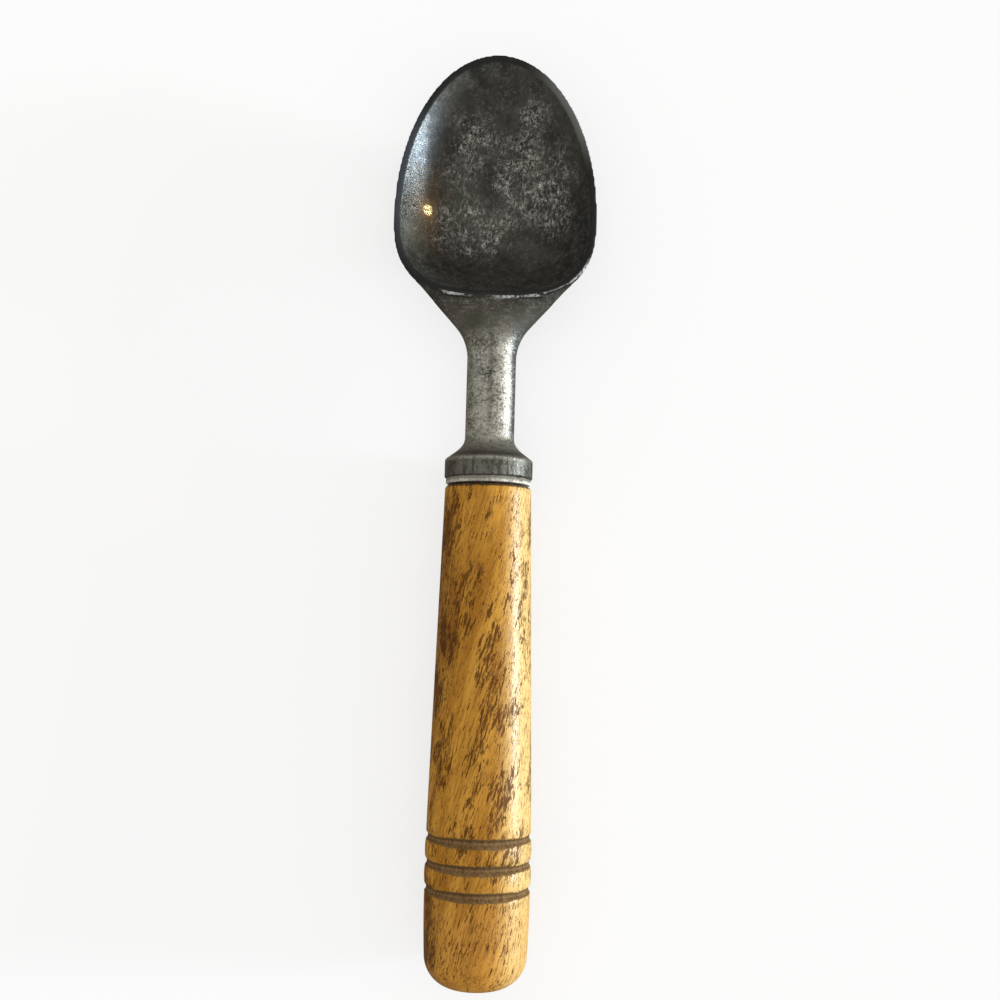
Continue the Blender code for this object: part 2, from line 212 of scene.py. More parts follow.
def sink_dish(piece, depth, lift):
    """Draw an egg outline down ring by ring, each one smaller, until the dish closes."""
    edit_all(piece)
    level = rim_height(BOWL_CENTRE)
    if lift:
        bpy.ops.mesh.extrude_region_move(TRANSFORM_OT_translate={"value": (0.0, 0.0, -lift)})
    scale, sunk = 1.0, 0.0
    for ring in range(1, DISH_RINGS + 1):
        angle = pi / 2 * min(ring / DISH_RINGS, 1 - LAST_RING / DISH_RINGS)
        next_scale = cos(angle) ** (2 / DISH_SPREAD)
        next_sunk = depth * sin(angle) ** (2 / DISH_FULLNESS)
        bpy.ops.mesh.extrude_region_move(
            TRANSFORM_OT_translate={"value": (0.0, 0.0, sunk - next_sunk)})
        share = next_scale / scale
        bpy.ops.transform.resize(
            value=(share, share, share), center_override=(0.0, BOWL_CENTRE, level - next_sunk))
        scale, sunk = next_scale, next_sunk
    leave_editing()
    return piece


def ease(value):
    """A smooth step from 0 to 1."""
    value = min(max(value, 0.0), 1.0)
    return value * value * (3.0 - 2.0 * value)


def ramp(distance, radius, angle):
    """Height gained along a line that turns through a fillet and then climbs at an angle."""
    arc_end = radius * sin(angle)
    if distance <= 0.0:
        return 0.0
    if distance < arc_end:
        return radius - sqrt(radius * radius - distance * distance)
    return radius * (1.0 - cos(angle)) + (distance - arc_end) * tan(angle)


def bowl_flank(along):
    """Half the width of the bowl behind its widest line."""
    share = min(max((BOWL_CENTRE - along) / BOWL_REAR, 0.0), 1.0)
    return BOWL_WIDTH / 2 * (1.0 - share ** REAR_FULLNESS) ** (1.0 / REAR_FULLNESS)


def bowl_back(along):
    """How far the bowl's back lies below the axis, behind its widest line."""
    share = min(max((BOWL_CENTRE - along) / BOWL_REAR, 0.0), 1.0)
    drop = (1.0 - share ** DISH_SPREAD) ** (1.0 / DISH_FULLNESS)
    return (BOWL_DEPTH + FLOOR_WALL) * drop - rim_height(along)


def find_flank():
    """The angle and place at which a line that leaves the neck's side just touches the bowl."""
    places = [HEEL + BOWL_REAR * step / TOUCH_PLACES for step in range(TOUCH_PLACES + 1)]
    low, high = 0.0, STEEPEST_LINE
    for _ in range(HALVINGS):
        angle = (low + high) / 2
        gaps = [NECK_WIDTH / 2 + ramp(at - FAN_START, FAN_FILLET, angle) - bowl_flank(at)
                for at in places]
        if min(gaps) > 0:
            high = angle
        else:
            low = angle
    return angle, places[gaps.index(min(gaps))]


FLANK_ANGLE, FLANK_TOUCH = find_flank()
TAIL_DROP = (HEEL_STEP + FAN_CROWN + FAN_TAIL / 2) / (BOWL_DEPTH + FLOOR_WALL)
TAIL_INSET = (1.0 - TAIL_DROP ** DISH_FULLNESS) ** (1.0 / DISH_SPREAD)


def fan_flank(along):
    """A line from the neck that touches the bowl's lip and then sinks into the wall below it."""
    if along <= FLANK_TOUCH:
        return NECK_WIDTH / 2 + ramp(along - FAN_START, FAN_FILLET, FLANK_ANGLE)
    lip = bowl_flank(along)
    wall = lip * TAIL_INSET - SUNK_DEPTH
    return lip + (wall - lip) * ease((along - FLANK_TOUCH) / FLANK_SINK)


def fan_keel(along):
    """The neck's underside runs on level, sweeps down to the bowl's back and sinks into it."""
    neck, back = NECK_HEIGHT / 2, bowl_back(along)
    near = max(KEEL_BLEND - abs(neck - back), 0.0)
    sunk = SUNK_DEPTH * ease((back - neck) / KEEL_BLEND - 0.5)
    return max(neck, back) + near * near / (4 * KEEL_BLEND) - sunk


def section(along):
    """Half width, height of the widest line, and rise and ridge above and below it."""
    if along <= SHOULDER_START:
        radius = COLLAR_DIAMETER / 2
        return radius, 0.0, radius, 0.0, radius, 0.0
    if along <= FLARE_START:
        share = (along - SHOULDER_START) / COLLAR_SHOULDER
        radius = (COLLAR_DIAMETER + (SHOULDER_DIAMETER - COLLAR_DIAMETER) * share) / 2
        return radius, 0.0, radius, 0.0, radius, 0.0
    if along <= FAN_START:
        left = max(1.0 - (along - FLARE_START) / FLARE_LENGTH, 0.0) ** 2
        width = (NECK_WIDTH + (SHOULDER_DIAMETER - NECK_WIDTH) * left) / 2
        height = (NECK_HEIGHT + (SHOULDER_DIAMETER - NECK_HEIGHT) * left) / 2
        return width, 0.0, height, 0.0, height, 0.0
    share = ease((along - FAN_START) / FAN_LENGTH)
    beside = ease((along - HEEL) / (FLANK_TOUCH - HEEL))
    half_edge = (FAN_EDGE + (FAN_TAIL - FAN_EDGE) * beside) / 2
    edge = share * (rim_height(along) - HEEL_STEP - FAN_CROWN - half_edge)
    rise = NECK_HEIGHT / 2 + share * (half_edge - NECK_HEIGHT / 2)
    keel = edge + fan_keel(along) - rise
    return fan_flank(along), edge, rise, share * FAN_CROWN, rise, keel


def shape_end(piece, along, before):
    """In edit mode, move the end face's points on to the next cross-section's curve."""
    bm = bmesh.from_edit_mesh(piece.data)
    width, edge, up, crown, down, keel = section(along)
    old_width, old_edge = before
    for vertex in bm.verts:
        if vertex.select:
            turn = min(max(vertex.co.x / old_width, -1.0), 1.0)
            lift = sqrt(1.0 - turn * turn)
            ridge = lift ** RIDGE_SHARPNESS
            above = vertex.co.z >= old_edge
            height = up * lift + crown * ridge if above else -(down * lift + keel * ridge)
            vertex.co = (turn * width, along, edge + height)
    bmesh.update_edit_mesh(piece.data)
    return width, edge


def shear(piece, slope):
    """Slide a piece's points up by a slope along the axis, from the heel."""
    for vertex in piece.data.vertices:
        vertex.co.z += slope * (vertex.co.y - HEEL)


def lay_down(piece):
    """Turn a finished piece from the handle's axis to where it rests, place in its mesh."""
    only(piece)
    piece.rotation_euler = (REST_TILT, 0.0, 0.0)
    piece.location = REST_PLACE
    bpy.ops.object.transform_apply(location=True, rotation=True)


bowl = sink_dish(egg("bowl_form", -LIP_SPARE, 0.0), BOWL_DEPTH + FLOOR_WALL, 0.0)
hollow = sink_dish(egg("bowl_hollow", LIP_WALL, HOLLOW_LIFT), BOWL_DEPTH, HOLLOW_LIFT)

# The collar, neck and fan are drawn along the axis, from one cross-section to the next.
upright = (pi / 2, 0.0, 0.0)
casting = start_circle(
    "scoop_casting", COLLAR_POINTS, COLLAR_DIAMETER / 2, (0.0, COLLAR_SEAT, 0.0), upright)
stops = [SHOULDER_START, FLARE_START]
for start, end, steps in (
        (FLARE_START, NECK_START, FLARE_STEPS),
        (NECK_START, FAN_START, NECK_STEPS),
        (FAN_START, BOWL_CENTRE, FAN_STEPS)):
    stops += [start + (end - start) * step / steps for step in range(1, steps + 1)]
edit_all(casting)
shaped = COLLAR_DIAMETER / 2, 0.0
for stop in stops:
    bpy.ops.mesh.extrude_region_move(TRANSFORM_OT_translate={"value": (0.0, NUDGE, 0.0)})
    shaped = shape_end(casting, stop, shaped)
leave_editing()

bore = start_circle("tang_bore", BORE_POINTS, TANG_BORE / 2, ORIGIN, upright)
edit_all(bore)
bpy.ops.mesh.extrude_region_move(
    TRANSFORM_OT_translate={"value": (0.0, COLLAR_SEAT + TANG_BORE_DEPTH, 0.0)})
leave_editing()

for form in (bowl, hollow, casting, bore):
    edit_all(form)
    bpy.ops.mesh.normals_make_consistent(inside=False)
    leave_editing()
for operation, form in (("UNION", bowl), ("DIFFERENCE", hollow), ("DIFFERENCE", bore)):
    apply_modifier(casting, "BOOLEAN", operation=operation, object=form, solver="EXACT")
    bpy.data.objects.remove(form, do_unlink=True)

# An even mesh, made while the rim is sheared level so that no steps cross the lip, and then
# drawn back on to the true form.
only(casting)
bpy.ops.object.duplicate()
true_form = bpy.context.object
shear(casting, -RIM_FALL)
apply_modifier(casting, "REMESH", mode="VOXEL", voxel_size=MESH_SIZE)
shear(casting, RIM_FALL)
apply_modifier(casting, "SHRINKWRAP", wrap_method="NEAREST_SURFACEPOINT", target=true_form)
bpy.data.objects.remove(true_form, do_unlink=True)

# The lip and the ends of the heel are rounded over by hand and by use.
LIP_REACH = 0.7 * MM
LIP_START = HEEL - 2.0 * MM
EAR = (14.0 * MM, HEEL + 1.5 * MM, 5.6 * MM)
EAR_REACH = 5.0 * MM
SKIN_ROUNDS = 3
LIP_ROUNDS = 12
EAR_ROUNDS = 28

apply_modifier(casting, "SMOOTH", factor=0.5, iterations=SKIN_ROUNDS)
lip = casting.vertex_groups.new(name="lip")
ears = casting.vertex_groups.new(name="ears")
for vertex in casting.data.vertices:
    across, along, height = vertex.co
    below = rim_height(along) - height
    share = ease((2 * LIP_REACH - below) / LIP_REACH) * ease((along - LIP_START) / MM)
    if share > 0.0:
        lip.add([vertex.index], share, "REPLACE")
    away = Vector((abs(across) - EAR[0], along - EAR[1], height - EAR[2])).length
    if away < EAR_REACH:
        ears.add([vertex.index], ease(2.0 - 2.0 * away / EAR_REACH), "REPLACE")
for group, rounds in (("lip", LIP_ROUNDS), ("ears", EAR_ROUNDS)):
    apply_modifier(casting, "SMOOTH", factor=0.5, iterations=rounds, vertex_group=group)
casting.vertex_groups.clear()
only(casting)
bpy.ops.object.shade_smooth()
lay_down(casting)


class Wire:
    """A socket of a material; Python's own operators join wires with Math nodes."""

    def __init__(self, finish, socket):
        self.finish = finish
        self.socket = socket

    def maths(self, operation, *others):
        values = dict(enumerate((self,) + others))
        return self.finish.add("ShaderNodeMath", {"operation": operation}, values)

    def __add__(self, other):
        return self.maths("ADD", other)

    __radd__ = __add__

    def __mul__(self, other):
        return self.maths("MULTIPLY", other)

    __rmul__ = __mul__

    def __sub__(self, other):
        return self.maths("SUBTRACT", other)

    def __rsub__(self, other):
        return (self * -1.0).maths("ADD", other)

    def __pow__(self, other):
        return self.maths("POWER", other)

    def at_most(self, other):
        return self.maths("MINIMUM", other)

    def at_least(self, other):
        return self.maths("MAXIMUM", other)


class Finish:
    """One procedural material, with a Principled shader at its end."""

    def __init__(self, name, **settings):
        self.material = bpy.data.materials.new(name)
        self.material.use_nodes = True
        self.tree = self.material.node_tree
        self.shader = self.tree.nodes["Principled BSDF"]
        for socket, value in settings.items():
            self.shader.inputs[socket.replace("_", " ")].default_value = value
        self.place = self.add("ShaderNodeTexCoord", {}, {}, "Object")
        self.colour = None

    def add(self, kind, settings, sockets, output=0):
        """Any node: its settings come first, then the values or wires of its sockets."""
        node = self.tree.nodes.new(kind)
        for name, value in settings.items():
            if name == "stops":
                while len(node.color_ramp.elements) < len(value):
                    node.color_ramp.elements.new(0.5)
                for element, (position, colour) in zip(node.color_ramp.elements, value):
                    element.position = position
                    element.color = (*colour, 1.0)
            else:
                setattr(node, name, value)
        for name, value in sockets.items():
            if isinstance(value, Wire):
                self.tree.links.new(value.socket, node.inputs[name])
            else:
                node.inputs[name].default_value = value
        return Wire(self, node.outputs[output])

    def axes(self):
        """The piece's own X, Y and Z as single values."""
        split = self.add("ShaderNodeSeparateXYZ", {}, {"Vector": self.place})
        outputs = split.socket.node.outputs
        return [Wire(self, outputs[axis]) for axis in "XYZ"]

    def moved(self, turn=ORIGIN, scale=(1.0, 1.0, 1.0)):
        """The piece's own coordinates, turned and stretched for a pattern."""
        sockets = {"Vector": self.place, "Rotation": turn, "Scale": scale}
        return self.add("ShaderNodeMapping", {"vector_type": "POINT"}, sockets)

    def cloud(self, where, scale, detail=4.0, roughness=0.55, bend=0.0):
        """A cloudy pattern of values about 0.5: a larger scale makes it finer."""
        sockets = {"Vector": where, "Scale": scale, "Detail": detail, "Roughness": roughness,
                   "Distortion": bend}
        return self.add("ShaderNodeTexNoise", {}, sockets)

    def between(self, value, low, high):
        """0 below low, 1 above high, and a smooth step between them."""
        sockets = {"Value": value, "From Min": low, "From Max": high}
        return self.add("ShaderNodeMapRange", {"interpolation_type": "SMOOTHSTEP"}, sockets)

    def spot(self, centre, reach):
        """1 round a place on the piece, fading to 0 at a reach along each axis, in mm."""
        sockets = {"Vector": self.place, "Location": [at * MM for at in centre],
                   "Scale": [at * MM for at in reach]}
        away = self.add("ShaderNodeMapping", {"vector_type": "TEXTURE"}, sockets)
        length = self.add("ShaderNodeVectorMath", {"operation": "LENGTH"}, {0: away}, "Value")
        return 1.0 - self.between(length, 0.25, 1.0)

    def stretched(self, where, stretch):
        """Coordinates drawn out along the piece, for grain."""
        sockets = {"Vector": where, "Scale": (1.0, stretch, 1.0)}
        return self.add("ShaderNodeMapping", {"vector_type": "POINT"}, sockets)

    def lines(self, pattern, width):
        """1 along the thin curved lines where a cloud passes its middle value."""
        return 1.0 - self.between((pattern - 0.5).maths("ABSOLUTE"), width * 0.35, width)

    def mix(self, factor, first, second):
        """The first colour where the factor is 0, and the second where it is 1."""
        first, second = [value if isinstance(value, Wire) else (*value, 1.0)
                         for value in (first, second)]
        sockets = {0: factor, 6: first, 7: second}
        return self.add("ShaderNodeMix", {"data_type": "RGBA"}, sockets, 2)

    def paint(self, share, colour):
        """Lay a colour over those laid before it, as thickly as the share says."""
        self.colour = self.mix(share, self.colour, colour)

    def feed(self, socket, value):
        """Join a wire to the shader."""
        self.tree.links.new(value.socket, self.shader.inputs[socket])

    def bump(self, height, distance):
        """Roughen the surface without moving it."""
        sockets = {"Height": height, "Distance": distance, "Strength": 1.0}
        self.feed("Normal", self.add("ShaderNodeBump", {}, sockets))

    def give_to(self, piece):
        """Make this the piece's only material."""
        piece.data.materials.clear()
        piece.data.materials.append(self.material)


# The plane of the lip once the scoop lies on its back: its height over the wood's top, and its
# fall towards the tip.
RIM_LEVEL = REST_PLACE[2] + RIM_AT_HEEL - RIM_FALL * HEEL
RIM_SLOPE = -RIM_FALL - REST_TILT

metal = Finish("cast_aluminium", Metallic=0.6, Specular_IOR_Level=0.25)
x, y, z = metal.axes()
patches = metal.cloud(metal.place, 90.0, 5.0, 0.6)
blotches = metal.cloud(metal.place, 330.0, 4.0, 0.65, 0.4)
tufts = metal.cloud(metal.place, 300.0, 5.0, 0.75, 0.3)
grain = metal.cloud(metal.place, 1800.0, 3.0, 0.7)
frost = metal.cloud(metal.place, 900.0, 5.0, 0.8)
worms = metal.cloud(metal.place, 430.0, 3.0, 0.6, 1.1)
leaning = metal.moved(turn=(0.0, 0.0, radians(18)))
threads = metal.cloud(metal.stretched(leaning, 0.34), 800.0, 3.0, 0.65, 1.0)
streaks = metal.cloud(metal.moved(scale=(0.3, 1.0, 1.0)), 900.0, 3.0, 0.6)
scuffs = metal.cloud(metal.moved(scale=(1.0, 0.3, 1.0)), 1000.0, 3.0, 0.6)

band_zone = 1.0 - metal.between(y, 10.0 * MM, 10.8 * MM)
neck_zone = 1.0 - metal.between(y, 36.0 * MM, 45.0 * MM)
tube_zone = neck_zone * metal.between(y, 14.5 * MM, 18.0 * MM)
bowl_zone = metal.between(y, 46.5 * MM, 49.0 * MM)
fan_zone = metal.between(y, 36.0 * MM, 42.0 * MM) * (1.0 - bowl_zone)

# How dark the skin is from the collar to the bowl: distance along the axis in mm, and colour.
# The light stop at 5.8 mm is a painted highlight at the top edge of the collar's band, and the
# dark stops at 6.8 and 7.3 mm are painted shade of the crease between the shoulder and the
# flare.
SKIN_TONE_AND_LIGHT = [
    (1.8, (0.100, 0.097, 0.080)), (5.4, (0.100, 0.097, 0.080)), (5.8, (0.330, 0.320, 0.270)),
    (6.3, (0.200, 0.192, 0.156)), (6.8, (0.050, 0.048, 0.037)), (7.3, (0.070, 0.067, 0.053)),
    (8.2, (0.210, 0.202, 0.166)), (9.9, (0.240, 0.231, 0.192)), (13.0, (0.330, 0.318, 0.262)),
    (16.0, (0.340, 0.330, 0.275)), (30.0, (0.300, 0.292, 0.246)), (35.0, (0.090, 0.086, 0.068)),
    (41.5, (0.042, 0.039, 0.029)), (43.0, (0.022, 0.022, 0.019)), (80.0, (0.021, 0.021, 0.019)),
    (99.9, (0.009, 0.010, 0.009)),
]
first, last = SKIN_TONE_AND_LIGHT[0][0], SKIN_TONE_AND_LIGHT[-1][0]
along = metal.add("ShaderNodeMapRange", {}, {
    "Value": y - REST_PLACE[1], "From Min": first * MM, "From Max": last * MM})
stops = [((at - first) / (last - first), tone) for at, tone in SKIN_TONE_AND_LIGHT]
metal.colour = metal.add("ShaderNodeValToRGB", {"stops": stops}, {"Fac": along})

# The skin is blotched all over. The neck is mottled too and pitted, with a painted highlight
# right of its middle and painted shade along its right flank.
metal.paint(metal.between(patches, 0.36, 0.66) * bowl_zone * 0.6, (0.068, 0.064, 0.050))
blotched = metal.between(blotches, 0.44, 0.66) * (neck_zone * 0.3 + 0.25)
metal.paint(blotched, (0.11, 0.105, 0.084))
mottle = metal.mix(metal.between(tufts, 0.40, 0.62), (0.12, 0.114, 0.092), (0.40, 0.39, 0.33))
metal.paint(tube_zone * 0.55, mottle)
# A warm pale strip right of the neck's middle is a painted highlight.
painted_highlight_strip = metal.between(x, 0.6 * MM, 2.4 * MM)
painted_highlight_strip = painted_highlight_strip * (1.0 - metal.between(x, 4.0 * MM, 5.0 * MM))
metal.paint(painted_highlight_strip * tube_zone * 0.22, (0.64, 0.57, 0.48))
# The neck's right flank is painted darker and bluish, as painted shade beside the highlight.
metal.paint(metal.between(x, 4.2 * MM, 5.4 * MM) * tube_zone * 0.9, (0.060, 0.068, 0.070))
frosted = metal.between(frost, 0.52, 0.66) * (tube_zone * 0.3 + 0.1) * neck_zone
metal.paint(frosted, (0.50, 0.49, 0.43))
sound = metal.between(tufts * 0.3 + grain * 0.7, 0.42, 0.51)
metal.paint((1.0 - sound) * neck_zone * 0.62, (0.045, 0.042, 0.032))
metal.paint(metal.between(grain, 0.54, 0.64) * tube_zone * 0.3, (0.60, 0.58, 0.50))

# The collar's band is scuffed in short strokes, and the fan in fine ones that run across.
PALE_SCUFF = (0.17, 0.165, 0.14)
metal.paint(metal.between(scuffs, 0.50, 0.58) * band_zone * 0.2, (0.26, 0.25, 0.21))
metal.paint(metal.between(scuffs, 0.50, 0.42) * band_zone * 0.55, (0.030, 0.028, 0.021))
metal.paint(metal.between(streaks, 0.53, 0.66) * fan_zone * 0.4, PALE_SCUFF)
metal.paint(metal.between(grain, 0.50, 0.70) * fan_zone * 0.35, PALE_SCUFF)
flecked = metal.between(frost, 0.50, 0.62) * metal.between(blotches, 0.44, 0.58) * fan_zone
metal.paint(flecked * 0.6, (0.21, 0.205, 0.178))
# The fan's left is painted darker and its right flank lighter: painted shade, and painted light
# from the window on the right.
fan_painted_shade = metal.spot((-4.2, 42.4, 14.0), (4.5, 4.0, 9.0))
metal.paint(fan_painted_shade * fan_zone * 0.8, (0.046, 0.044, 0.031))
fan_painted_light = metal.spot((10.0, 40.5, 14.0), (9.0, 8.0, 9.0))
metal.paint(fan_painted_light * fan_zone * 0.5, (0.105, 0.105, 0.096))

# A dark, slightly wavering parting line runs up the middle of the neck, past a few deep pits.
waver = (x + (tufts - 0.5) * (1.6 * MM)).maths("ABSOLUTE")
parting = 1.0 - metal.between(waver, 0.1 * MM, 1.1 * MM)
parting = parting * metal.between(y, 17.0 * MM, 20.0 * MM)
metal.paint(parting * neck_zone * 0.45, (0.040, 0.037, 0.028))
pits = metal.spot((-0.3, 30.6, 17.0), (2.0, 2.2, 6.0)) * metal.between(grain, 0.50, 0.42)
metal.paint(pits, (0.010, 0.009, 0.007))

# The bowl's left wall has brown specks of tarnish low down, and a thin blue-black film above,
# which is also a painted bluish tint for the window's reflection there.
tarnish = metal.spot((-14.5, 70.0, 9.0), (7.5, 15.0, 12.0)) * metal.between(frost, 0.42, 0.60)
metal.paint(tarnish * 0.75, (0.085, 0.046, 0.019))
film_and_blue_sheen = metal.spot((-17.0, 84.0, 12.0), (9.0, 22.0, 12.0)) * bowl_zone
metal.paint(film_and_blue_sheen * 0.5, (0.016, 0.023, 0.031))

# Pale fine scratches in the bowl lie in loose patches: place and reach in mm, and strength.
SCRATCHED = [
    ((-5.6, 87.5), (7.0, 7.5), 0.9), ((8.6, 91.7), (6.0, 6.5), 0.8),
    ((5.8, 78.5), (9.0, 13.0), 0.9), ((12.3, 76.0), (8.0, 12.5), 1.0),
    ((-6.0, 66.5), (12.0, 9.5), 1.3), ((14.2, 67.9), (5.0, 6.0), 0.4),
    ((-8.8, 80.1), (6.5, 8.0), 0.4),
]
BOWL_FLOOR = 4.0
ANY_HEIGHT = 30.0
rubbed = 0.12
for (across, up), (wide, long), strength in SCRATCHED:
    patch = metal.spot((across, up, BOWL_FLOOR), (wide, long, ANY_HEIGHT))
    rubbed = patch * strength + rubbed
rubbed = rubbed.at_most(1.0) * bowl_zone
broken = metal.between(tufts, 0.42, 0.60)
stroke = (metal.lines(worms, 0.022) * 0.8).at_least(metal.lines(threads, 0.045))
scratch = stroke * metal.between(frost, 0.38, 0.56) * (broken * 0.8 + 0.2) * rubbed
haze = metal.between(frost, 0.42, 0.66) * (broken * 0.5 + 0.5) * rubbed
points = metal.between(grain, 0.62, 0.70) * metal.between(tufts, 0.50, 0.62) * rubbed
metal.paint(haze * 0.60, (0.17, 0.165, 0.145))
metal.paint(scratch * 0.95, (0.56, 0.54, 0.49))
metal.paint(points * 0.9, (0.72, 0.71, 0.66))

# The lip is nearly black, with a grey stretch at the upper right, and at the left a bluish
# stretch that is a painted reflection of the window.
lip_level = (RIM_LEVEL - (y - REST_PLACE[1]) * RIM_SLOPE - z) * -1.0
lip_band = metal.between(lip_level, -0.45 * MM, -0.12 * MM) * bowl_zone
grey_lip = metal.spot((15.5, 92.0, 15.0), (13.0, 18.0, 8.0))
blue_reflection_on_lip = metal.spot((-21.0, 77.0, 15.0), (9.0, 25.0, 10.0))
lip_colour_and_reflection = metal.mix(grey_lip, (0.012, 0.012, 0.011), (0.115, 0.118, 0.110))
lip_colour_and_reflection = metal.mix(blue_reflection_on_lip, lip_colour_and_reflection, (0.050, 0.058, 0.070))
metal.paint(lip_band * 0.9, lip_colour_and_reflection)

# The heel and the right rear of the lip are worn bright along their outer edge, and are painted
# lighter there as a painted highlight where the rounded edge catches the light.
ridge = metal.spot((-9.3, 48.1, 16.3), (5.5, 2.0, 3.5))
ridge = ridge + metal.spot((7.4, 48.5, 16.3), (10.0, 2.8, 3.5)) * 1.4
ridge = ridge + metal.spot((18.4, 52.4, 15.8), (6.5, 7.0, 3.5)) * 1.3
behind = (y - (BOWL_CENTRE + REST_PLACE[1])).maths("ABSOLUTE")
rear_egg = (x.maths("ABSOLUTE") * (2.0 / BOWL_WIDTH)) ** REAR_FULLNESS
rear_egg = (behind * (1.0 / BOWL_REAR)) ** REAR_FULLNESS + rear_egg
edge_line = metal.between(rear_egg, 0.915, 0.945)
edge_line = edge_line * metal.between(lip_level, -0.4 * MM, -0.15 * MM)
wear_and_highlight = edge_line * metal.between(blotches * 0.3 + grain * 0.7, 0.42, 0.56) * ridge.at_most(1.0)
metal.paint(wear_and_highlight * 0.95, (0.50, 0.51, 0.50))

# A painted glint on the left wall: a warm pale spot with an orange halo, where the surface is
# also smoother and catches the lamp.
GLINT = (-15.8, 69.5, 9.0)
painted_glint_halo = metal.spot(GLINT, (3.4, 3.8, 5.0))
painted_glint_and_polish = metal.between(metal.spot(GLINT, (2.0, 2.2, 3.0)) + (frost - 0.5) * 1.2, 0.30, 0.90)
metal.paint(painted_glint_halo * 0.5, (0.19, 0.125, 0.055))
metal.paint(painted_glint_and_polish * 0.8, (0.60, 0.50, 0.32))
metal.feed("Base Color", metal.colour)

# The skin is dull as cast, and the bowl is polished by use, most of all along its left wall.
cast_rough = metal.between(grain, 0.2, 0.8) * 0.2 + 0.32
glossy = metal.spot((-21.5, 82.0, 14.0), (9.5, 24.0, 14.0)) * 1.4
glossy = glossy + (tufts - 0.5) * 2.2 + (frost - 0.5) * 0.8
worn_rough = metal.between(frost, 0.36, 0.64) * 0.18 + 0.38
worn_rough = worn_rough - metal.between(glossy, 0.20, 0.90) * 0.17
rough = metal.add("ShaderNodeMix", {"data_type": "FLOAT"}, {
    "Factor": bowl_zone, "A": cast_rough, "B": worn_rough})
metal.feed("Roughness", rough * (1.0 - painted_glint_and_polish * 0.5))
uneven = blotches * 0.5 + (patches * 1.5 + tufts * 0.15) * bowl_zone
metal.bump(grain * (neck_zone * 0.5 + 0.3) + uneven + scratch * 0.4, 0.14 * MM)
metal.give_to(casting)
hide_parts("scoop_head")
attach(casting, "root")


# Tang: a barbed steel rod with a point, which holds the head to the handle and is hidden in
# both. It keeps the form of its solid and is only given turned steel as its material.
steel = Finish("tang_steel", Metallic=1.0, Roughness=0.4)
rings = steel.cloud(steel.moved(scale=(80.0, 2400.0, 80.0)), 1.0, 2.0)
steel.feed("Base Color", steel.mix(rings, (0.28, 0.28, 0.29), (0.42, 0.42, 0.43)))
steel.feed("Roughness", rings * 0.3 + 0.25)
steel.bump(rings, 0.02 * MM)
steel.give_to(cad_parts["tang"])


# Seat washer: a thin pale ring between the collar and the wood, a little smaller than the
# collar, with a seam above it and below it. Its edge is crumbly, and painted dark and mottled
# under the collar as painted shade.
WASHER_DIAMETER = 19.3 * MM
SEAT_GAP = 0.3 * MM
WASHER_EDGE_ROUND = 0.25 * MM
WASHER_EDGE_STEP = 0.2 * MM
WASHER_EDGE_RINGS = 3
WASHER_TURN_STEPS = 220
FACE_RING = 2.0 * MM
CRUMB_ZONE = 1.0 * MM
CRUMB_DEPTH = 0.12 * MM
COARSE_CRUMB = 0.9 * MM
FINE_CRUMB = 0.35 * MM
WELD = 0.002 * MM


def turned(name, profile, steps):
    """Draw a profile point by point, then spin it about the handle's axis."""
    bpy.ops.object.select_all(action="DESELECT")
    bpy.ops.mesh.primitive_plane_add(size=MM)
    piece = bpy.context.object
    piece.name = name
    piece.data.name = name
    edit_all(piece)
    bpy.ops.mesh.merge(type="CENTER")
    at, out = profile[0]
    bpy.ops.transform.translate(value=(out, at, 0.0))
    for following, wider in profile[1:]:
        bpy.ops.mesh.extrude_vertices_move(
            TRANSFORM_OT_translate={"value": (wider - out, following - at, 0.0)})
        at, out = following, wider
    bpy.ops.mesh.select_all(action="SELECT")
    bpy.ops.mesh.spin(steps=steps, angle=2 * pi, center=ORIGIN, axis=(0.0, 1.0, 0.0))
    bpy.ops.mesh.select_all(action="SELECT")
    bpy.ops.mesh.remove_doubles(threshold=WELD)
    bpy.ops.mesh.normals_make_consistent(inside=False)
    leave_editing()
    return piece


def spaced(start, end, step):
    """Places from start to end, about a step apart."""
    count = max(1, round(abs(end - start) / step))
    return [start + (end - start) * index / count for index in range(count + 1)]


def quarter_turn(steps):
    """The angles of a quarter turn, without its start."""
    return [pi / 2 * step / steps for step in range(1, steps + 1)]


def off_axis(vertex):
    """How far a point of a turned piece lies from its axis."""
    return sqrt(vertex.co.x ** 2 + vertex.co.z ** 2)


def pull_in(vertex, depth):
    """Move a point of a turned piece nearer to its axis."""
    shrink = 1 - depth / off_axis(vertex)
    vertex.co.x *= shrink
    vertex.co.z *= shrink


def lay_turned(piece, sharp):
    """Shade a turned piece smooth but for edges over an angle, and put it in its place."""
    only(piece)
    bpy.ops.object.shade_smooth_by_angle(angle=radians(sharp))
    lay_down(piece)


outer = WASHER_DIAMETER / 2
inner = TANG_BORE / 2
bottom, top = 1.5 * SEAT_GAP, COLLAR_SEAT
soft = WASHER_EDGE_ROUND
quarter = quarter_turn(WASHER_EDGE_RINGS)
profile = [(bottom, inner), (bottom, outer - FACE_RING), (bottom, outer - soft)]
profile += [(bottom + soft - soft * cos(a), outer - soft + soft * sin(a)) for a in quarter]
profile += [(at, outer) for at in spaced(bottom + soft, top - soft, WASHER_EDGE_STEP)[1:]]
profile += [(top - soft + soft * sin(a), outer - soft + soft * cos(a)) for a in quarter]
profile += [(top, outer - FACE_RING), (top, inner), (bottom, inner)]
washer = turned("seat_ring", profile, WASHER_TURN_STEPS)
for vertex in washer.data.vertices:
    if off_axis(vertex) > outer - CRUMB_ZONE:
        crumb = noise.noise(vertex.co / COARSE_CRUMB) + 0.5 * noise.noise(vertex.co / FINE_CRUMB)
        pull_in(vertex, CRUMB_DEPTH * (0.6 + crumb))
